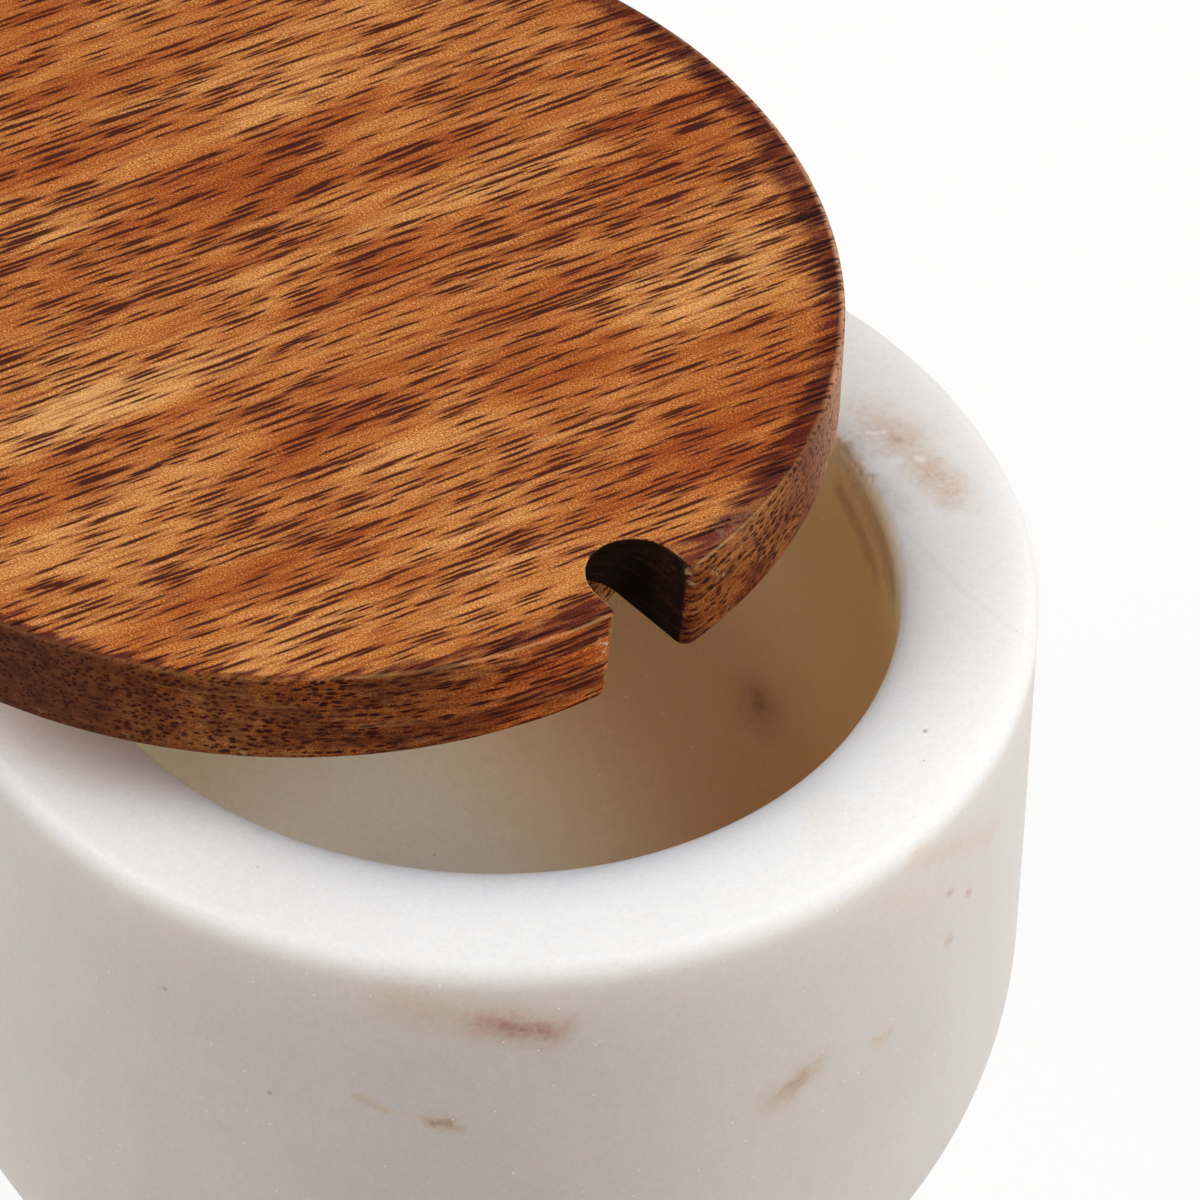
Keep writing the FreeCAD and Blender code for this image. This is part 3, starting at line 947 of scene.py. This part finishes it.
def longGrainSide(f, bare, grain, x, streak):
    look = woodLook
    wearAndShade = plateLook
    # painted shade: the long grain side is painted darker than the top
    colour = f.blend(1.0, bare, look["sidePaintedShade"], "MULTIPLY")
    warm = f.smooth(x, *wearAndShade["warmLeft"]) * f.smooth(x, *wearAndShade["warmRight"])
    colour = f.scale(colour, 1 + warm * wearAndShade["warmGain"])
    bands = f.smooth(grainCloud(f, grain, *wearAndShade["sideBands"]), *wearAndShade["sideBandEdge"])
    colour = f.blend(bands * wearAndShade["sideBandStrength"], colour, look["sideStain"])
    dark = f.smooth(streak, *wearAndShade["darkStreak"]) * wearAndShade["darkStreakStrength"]
    colour = f.blend(dark, colour, look["sideStain"])
    pale = f.smooth(streak, *wearAndShade["paleStreak"]) * wearAndShade["paleStreakStrength"]
    return f.blend(pale, colour, look["scratch"])


def plateWearAndShade(f, size, grain, bare, core):
    look = woodLook
    wearAndShade = plateLook
    place = f.objectPlace(size["centre"])
    x, y, z = f.split(place)
    radius = size["radius"] / mm
    top = size["top"] / mm
    bottom = size["bottom"] / mm
    inward = radius - (x * x + y * y) ** 0.5
    toward = (x * math.cos(look["paintedLitToward"]) + y * math.sin(look["paintedLitToward"])) / radius
    nearSlot = f.smooth(abs(x), *wearAndShade["nearSlotAcross"]) * f.smooth(y, *wearAndShade["nearSlotAhead"])
    ragged = grainCloud(f, grain, *wearAndShade["ragged"])
    broad = f.cloud(place, *wearAndShade["broad"])
    chips = f.veil(place, *wearAndShade["chips"])
    length, height = wearAndShade["streak"]
    streak = f.cloud(f.join(x / length, y / length, z / height), 1.0, *wearAndShade["streakDetail"])
    colour = stainedTop(f, bare, inward, toward, ragged, broad)

    # side: long grain beside the slot, end grain where the grain runs out; the side is painted darker as
    # shade, and the end grain paler toward the lamps on the right as painted light
    endGrain = endGrainSide(f, toward, ragged, broad, core)
    longGrain = longGrainSide(f, bare, grain, x, streak)
    runOut = (grain[0] / radius) * (grain[0] / radius)
    side = f.smooth(inward, *wearAndShade["sideEdge"])
    colour = f.blend(side, colour, f.blend(f.smooth(runOut, *wearAndShade["runOut"]), longGrain, endGrain))

    # rubbed edges
    middle, reach, full = wearAndShade["edgeLine"]
    start, end = wearAndShade["edgeHeight"]
    edge = f.smooth(abs(inward - middle), reach, full) * f.smooth(z, top - start, top - end)
    allRound, atSlot, chipped, chippedAtSlot = wearAndShade["rubbed"]
    rubbed = allRound + nearSlot * atSlot + chips * (chipped + nearSlot * chippedAtSlot)
    colour = f.blend(edge * rubbed, colour, look["worn"])
    start, end = wearAndShade["bottomChips"]
    low = f.smooth(z, bottom + start, bottom + end) * side * chips
    colour = f.blend(low * wearAndShade["bottomChipStrength"], colour, look["worn"])

    # burnt walls of the slanted slot, darkened further with painted shade, with a worn lip and chipped
    # corners
    share = (top - z) / (top - bottom)
    slotEnd = size["slotTop"] / mm + share * ((size["slotBottom"] - size["slotTop"]) / mm)
    beyond = (y - slotEnd).most(0)
    offMiddle = x - slotShift(share) / mm
    offWall = (offMiddle * offMiddle + beyond * beyond) ** 0.5 - size["slotHalf"] / mm
    # painted shade and burn on the slot's walls
    burntAndShaded = f.smooth(offWall, *wearAndShade["burntEdge"])
    fibres = f.smooth(streak, *wearAndShade["burntStreak"]) * wearAndShade["burntStreakStrength"]
    colour = f.blend(burntAndShaded * (wearAndShade["burntDepth"] - fibres), colour, look["burntAndShaded"])
    middle, reach, full = wearAndShade["lipLine"]
    start, end = wearAndShade["lipHeight"]
    lip = f.smooth(abs(offWall - middle), reach, full) * f.smooth(z, top - start, top - end)
    allAlong, inChips = wearAndShade["lipWorn"]
    lip = lip * f.smooth(offMiddle, *wearAndShade["lipSide"]) * (allAlong + chips * inChips)
    colour = f.blend(lip, colour, look["worn"])
    corner = f.smooth(abs(offWall), *wearAndShade["cornerReach"]) * f.smooth(inward, *wearAndShade["cornerInward"])
    colour = f.blend(corner * chips * wearAndShade["cornerStrength"], colour, look["worn"])
    colour = f.addMarks(colour, wearAndShade["scuffs"], place, place, f.veil(place, *wearAndShade["scuffSpeckle"]))
    return colour, look["plateGloss"] * (1 - side.most(burntAndShaded) * wearAndShade["dullness"])


# Painted shade on the plug beside the slot, in millimetres about the lid's middle.
plugShadeLook = {
    "across": (9, 5),
    "ahead": (-28, -33),
    "depth": (5.5, 3),  # below the plate
    "strength": (0.72, 0.18),  # all the way down, and more just under the plate
}


def plugPaintedShade(f, size, grain, bare, core):
    # painted shade beside the slot, darkest just under the plate
    wearAndShade = plugShadeLook
    x, y, z = f.split(f.objectPlace(size["centre"]))
    top = size["bottom"] / mm
    nearSlot = f.smooth(abs(x), *wearAndShade["across"]) * f.smooth(y, *wearAndShade["ahead"])
    start, end = wearAndShade["depth"]
    least, more = wearAndShade["strength"]
    plugShade = nearSlot * (least + f.smooth(z, top - start, top - end) * more)
    return f.blend(plugShade, bare, woodLook["burntAndShaded"]), woodLook["plugGloss"]


# Floor and light: a pale floor that reads as white and soft lamps, most of them from the right.
studio = {
    "floorReach": 6000 * mm,
    "floorColour": (0.80, 0.745, 0.69),
    "floorGlow": 0.92,  # how much of the floor reads as white; the rest takes the shadow
    "worldLevel": 0.03,
    "lampSize": 500 * mm,
    # power and place of each lamp: to the right of the camera's line, away from it and up
    "lamps": {
        "right": (2.7, (1000 * mm, 0, 250 * mm)),
        "highRight": (2.2, (550 * mm, 0, 900 * mm)),
        "frontRight": (4.8, (400 * mm, -400 * mm, 900 * mm)),
        "backRight": (2.2, (700 * mm, 600 * mm, 700 * mm)),
        "left": (6.2, (-750 * mm, -150 * mm, 700 * mm)),
    },
}


def seenRays(f):
    # 1 for rays that look at the backdrop: from the camera, from a gloss or through a clear thing
    camera = f.node("ShaderNodeLightPath", out="Is Camera Ray")
    return camera.most(camera.other("Is Glossy Ray")).most(camera.other("Is Transmission Ray"))


def floorFinish():
    f = Finish(bpy.data.materials.new("paleFloor"))
    matt = f.node("ShaderNodeBsdfDiffuse", None, {"Color": (*studio["floorColour"], 1)})
    glow = f.node("ShaderNodeEmission", None, {"Color": (1, 1, 1, 1), "Strength": 1.0})
    seen = seenRays(f) * studio["floorGlow"]
    return f.surface(f.node("ShaderNodeMixShader", None, {0: seen, 1: matt, 2: glow}))


def roomFinish():
    # white where it is looked at, and a faint even light elsewhere
    f = Finish(bpy.data.worlds.new("softRoom"))
    level = studio["worldLevel"]
    sockets = {"Color": (1, 1, 1, 1), "Strength": seenRays(f) * (1 - level) + level}
    return f.surface(f.node("ShaderNodeBackground", None, sockets), "ShaderNodeOutputWorld")


def buildStudio(aim):
    half = studio["floorReach"] / 2
    sheet = bpy.data.meshes.new("floor")
    corners = [(-half, -half, 0), (half, -half, 0), (half, half, 0), (-half, half, 0)]
    sheet.from_pydata(corners, [], [(0, 1, 2, 3)])
    sheet.materials.append(floorFinish())
    addPiece("floor", sheet)
    bpy.context.scene.world = roomFinish()
    azimuth = math.radians(photoView["azimuth"])
    level = Vector((math.cos(azimuth), math.sin(azimuth), 0))
    away = Vector((-math.sin(azimuth), math.cos(azimuth), 0))
    for name, (power, (aside, beyond, above)) in studio["lamps"].items():
        lamp = bpy.data.lights.new(name + "Lamp", "AREA")
        lamp.energy = power
        lamp.size = studio["lampSize"]
        holder = bpy.data.objects.new(name + "Lamp", lamp)
        spot = level * aside + away * beyond + Vector((0, 0, above))
        holder.location = spot
        holder.rotation_euler = (spot - aim).to_track_quat("Z", "Y").to_euler()
        bpy.context.scene.collection.objects.link(holder)


bpy.context.scene.view_settings.view_transform = "Standard"

jarLow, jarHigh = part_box("jar_body")
jarRadius = (jarHigh[0] - jarLow[0]) / 2
jarHeight = jarHigh[2] - jarLow[2]
rimMiddle = Vector((0, 0, jarHigh[2]))
placeCamera(rimMiddle)
print("camera placed")

turning = turningTree()
marble = marbleFinish(jarRadius, jarHeight)
jar = turnedPiece("jarBody", jarProfile(jarRadius, jarHeight), jarBuild["segments"], marble, turning)
roughenJar(jar.data)
finishPiece(jar, "jar", "jar_body")
print("jar turned:", len(jar.data.polygons), "faces")

lidSize = lidSizes()
plate = platePiece(lidSize, woodFinish("oiledPlateWood", lidSize, 0, plateWearAndShade))
finishPiece(plate, "lid", "lid_plate")
plugWood = woodFinish("oiledPlugWood", lidSize, woodLook["plugPaleness"], plugPaintedShade)
plug = turnedPiece("lidPlug", plugProfile(lidSize), lidBuild["plugSegments"], plugWood, turning)
plug.data.transform(Matrix.Translation(lidSize["centre"]))
finishPiece(plug, "lid", "lid_plug")
print("lid made:", len(plate.data.polygons), "faces on the plate")

buildStudio(rimMiddle)
print("studio lit")
